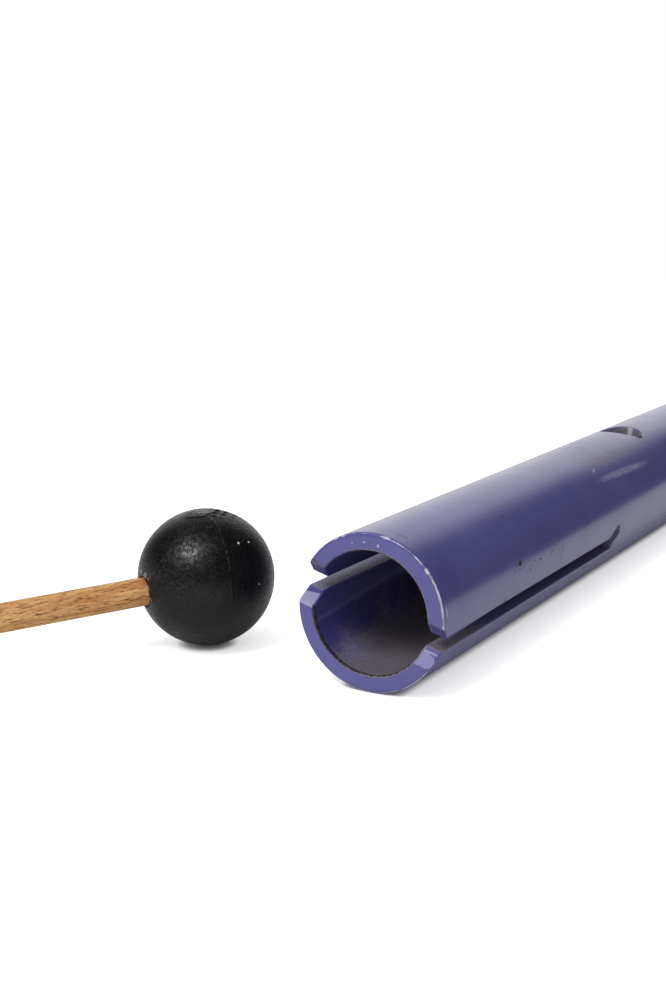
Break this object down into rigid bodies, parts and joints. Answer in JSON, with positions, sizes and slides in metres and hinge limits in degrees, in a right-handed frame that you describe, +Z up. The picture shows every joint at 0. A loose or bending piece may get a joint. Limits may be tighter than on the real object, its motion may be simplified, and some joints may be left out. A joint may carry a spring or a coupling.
{
  "type": "wah-wah tube",
  "caption": "Painted steel tube, slotted at its open end into two ringing prongs, closed at the other, with a thumb hole and a rubber-headed wooden mallet.",
  "frame": {"origin": "centre of the set's footprint, on the surface that the tube and the mallet lie on", "axes": "+Y along the tube from its slotted mouth to its closed end, +Z up, +X to the right of someone looking into the mouth along +Y"},
  "size_m": [0.2192, 0.572, 0.042],
  "materials": {
    "violet_paint": "glossy paint, worn at the rims",
    "black_rubber": "smooth moulded rubber, half matt",
    "beech": "bare sanded beech"
  },
  "bodies": {
    "tube": {"tube": "violet_paint", "end_plug": "violet_paint"},
    "mallet": {"mallet_head": "black_rubber", "mallet_shaft": "beech"}
  },
  "joints": [
    {"name": "mallet_lift", "type": "slide", "parent": "tube", "child": "mallet", "axis": [0, 0, 1], "range_m": [0, 0.15]}
  ]
}
